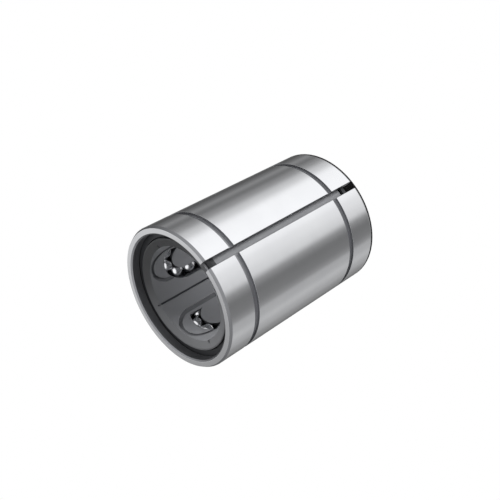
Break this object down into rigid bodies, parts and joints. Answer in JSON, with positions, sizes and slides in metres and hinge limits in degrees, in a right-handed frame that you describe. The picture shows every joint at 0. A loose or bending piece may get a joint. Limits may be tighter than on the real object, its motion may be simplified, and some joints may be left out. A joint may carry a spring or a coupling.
{
  "type": "linear ball bushing",
  "caption": "Steel linear ball bushing with an adjusting slit, two outside ring grooves and recirculating ball rows in a moulded retainer.",
  "frame": {"origin": "centre of the bottom end face, on the axis", "axes": "+Z along the axis to the top end face; the adjusting slit faces -Y"},
  "size_m": [0.045, 0.045, 0.064],
  "materials": {
    "ground_steel": "ground and polished",
    "retainer_polymer": "moulded",
    "spring_steel": "dark spring steel",
    "ball_steel": "polished bearing steel"
  },
  "bodies": {
    "sleeve": {"outer_cylinder": "ground_steel", "ball_retainer": "retainer_polymer", "snap_ring_top": "spring_steel", "snap_ring_bottom": "spring_steel"},
    "load_balls_1": {"load_balls_1": "ball_steel"},
    "return_balls_1": {"return_balls_1": "ball_steel"},
    "top_turn_balls_1": {"top_turn_balls_1": "ball_steel"},
    "bottom_turn_balls_1": {"bottom_turn_balls_1": "ball_steel"},
    "load_balls_2": {"load_balls_2": "ball_steel"},
    "return_balls_2": {"return_balls_2": "ball_steel"},
    "top_turn_balls_2": {"top_turn_balls_2": "ball_steel"},
    "bottom_turn_balls_2": {"bottom_turn_balls_2": "ball_steel"},
    "load_balls_3": {"load_balls_3": "ball_steel"},
    "return_balls_3": {"return_balls_3": "ball_steel"},
    "top_turn_balls_3": {"top_turn_balls_3": "ball_steel"},
    "bottom_turn_balls_3": {"bottom_turn_balls_3": "ball_steel"},
    "load_balls_4": {"load_balls_4": "ball_steel"},
    "return_balls_4": {"return_balls_4": "ball_steel"},
    "top_turn_balls_4": {"top_turn_balls_4": "ball_steel"},
    "bottom_turn_balls_4": {"bottom_turn_balls_4": "ball_steel"}
  },
  "joints": [
    {"name": "load_row_1", "type": "slide", "parent": "sleeve", "child": "load_balls_1", "axis": [0, 0, 1], "range_m": [-0.00248, 0.00248]},
    {"name": "return_row_1", "type": "slide", "parent": "sleeve", "child": "return_balls_1", "axis": [0, 0, 1], "range_m": [-0.00249, 0.00249]},
    {"name": "top_turn_1", "type": "hinge", "parent": "sleeve", "child": "top_turn_balls_1", "pos_m": [0.00896, -0.01392, 0.0472], "axis": [0.5869, -0.7951, -0.153], "range_deg": [-22.09, 22.09]},
    {"name": "bottom_turn_1", "type": "hinge", "parent": "sleeve", "child": "bottom_turn_balls_1", "pos_m": [0.00896, -0.01392, 0.0168], "axis": [-0.5869, 0.7951, -0.153], "range_deg": [-22.09, 22.09]},
    {"name": "load_row_2", "type": "slide", "parent": "sleeve", "child": "load_balls_2", "axis": [0, 0, 1], "range_m": [-0.00248, 0.00248]},
    {"name": "return_row_2", "type": "slide", "parent": "sleeve", "child": "return_balls_2", "axis": [0, 0, 1], "range_m": [-0.00249, 0.00249]},
    {"name": "top_turn_2", "type": "hinge", "parent": "sleeve", "child": "top_turn_balls_2", "pos_m": [0.01392, 0.00896, 0.0472], "axis": [0.7951, 0.5869, -0.153], "range_deg": [-22.09, 22.09]},
    {"name": "bottom_turn_2", "type": "hinge", "parent": "sleeve", "child": "bottom_turn_balls_2", "pos_m": [0.01392, 0.00896, 0.0168], "axis": [-0.7951, -0.5869, -0.153], "range_deg": [-22.09, 22.09]},
    {"name": "load_row_3", "type": "slide", "parent": "sleeve", "child": "load_balls_3", "axis": [0, 0, 1], "range_m": [-0.00248, 0.00248]},
    {"name": "return_row_3", "type": "slide", "parent": "sleeve", "child": "return_balls_3", "axis": [0, 0, 1], "range_m": [-0.00249, 0.00249]},
    {"name": "top_turn_3", "type": "hinge", "parent": "sleeve", "child": "top_turn_balls_3", "pos_m": [-0.00896, 0.01392, 0.0472], "axis": [-0.5869, 0.7951, -0.153], "range_deg": [-22.09, 22.09]},
    {"name": "bottom_turn_3", "type": "hinge", "parent": "sleeve", "child": "bottom_turn_balls_3", "pos_m": [-0.00896, 0.01392, 0.0168], "axis": [0.5869, -0.7951, -0.153], "range_deg": [-22.09, 22.09]},
    {"name": "load_row_4", "type": "slide", "parent": "sleeve", "child": "load_balls_4", "axis": [0, 0, 1], "range_m": [-0.00248, 0.00248]},
    {"name": "return_row_4", "type": "slide", "parent": "sleeve", "child": "return_balls_4", "axis": [0, 0, 1], "range_m": [-0.00249, 0.00249]},
    {"name": "top_turn_4", "type": "hinge", "parent": "sleeve", "child": "top_turn_balls_4", "pos_m": [-0.01392, -0.00896, 0.0472], "axis": [-0.7951, -0.5869, -0.153], "range_deg": [-22.09, 22.09]},
    {"name": "bottom_turn_4", "type": "hinge", "parent": "sleeve", "child": "bottom_turn_balls_4", "pos_m": [-0.01392, -0.00896, 0.0168], "axis": [0.7951, 0.5869, -0.153], "range_deg": [-22.09, 22.09]}
  ],
  "couplings": [
    {"joint": "return_row_1", "follows": "load_row_1", "ratio": -1},
    {"joint": "top_turn_1", "follows": "load_row_1", "rad_per_m": 155.05},
    {"joint": "bottom_turn_1", "follows": "load_row_1", "rad_per_m": -155.05},
    {"joint": "return_row_2", "follows": "load_row_2", "ratio": -1},
    {"joint": "top_turn_2", "follows": "load_row_2", "rad_per_m": 155.05},
    {"joint": "bottom_turn_2", "follows": "load_row_2", "rad_per_m": -155.05},
    {"joint": "return_row_3", "follows": "load_row_3", "ratio": -1},
    {"joint": "top_turn_3", "follows": "load_row_3", "rad_per_m": 155.05},
    {"joint": "bottom_turn_3", "follows": "load_row_3", "rad_per_m": -155.05},
    {"joint": "return_row_4", "follows": "load_row_4", "ratio": -1},
    {"joint": "top_turn_4", "follows": "load_row_4", "rad_per_m": 155.05},
    {"joint": "bottom_turn_4", "follows": "load_row_4", "rad_per_m": -155.05}
  ]
}
